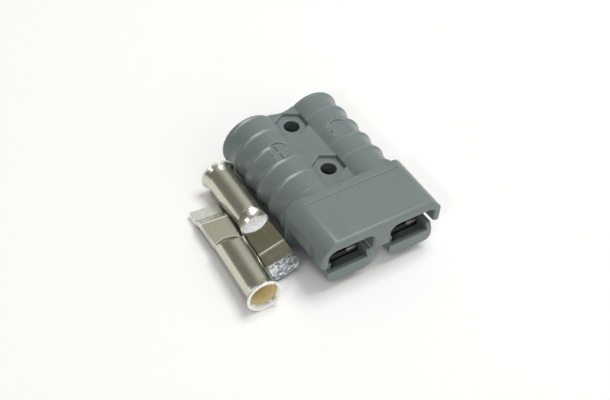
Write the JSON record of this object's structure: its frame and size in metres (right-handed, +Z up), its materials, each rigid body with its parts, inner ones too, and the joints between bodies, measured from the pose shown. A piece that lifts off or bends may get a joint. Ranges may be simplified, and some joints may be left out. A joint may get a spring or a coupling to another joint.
{
  "type": "genderless power connector",
  "caption": "Flat moulded two-pole power connector with ribbed barrels and an open hooded mating face, two inner leaf springs, and its loose crimp contacts beside it.",
  "frame": {"origin": "centre of the flat foot under the head's shoulder, where the mate's hood stops, on the resting plane", "axes": "+Z up along the mounting holes, -Y towards the mating front, +Y towards the cable end, +X across the poles to the negative one"},
  "size_m": [0.0539, 0.0481, 0.016],
  "materials": {
    "moulding": "grey moulded polycarbonate, fine satin",
    "spring_steel": "bright stainless spring strip",
    "silver_plate": "silver-plated copper, soft sheen"
  },
  "bodies": {
    "root": {"housing": "moulding", "leaf_spring_left": "spring_steel", "leaf_spring_right": "spring_steel", "contact_1": "silver_plate", "contact_2": "silver_plate"}
  },
  "joints": []
}
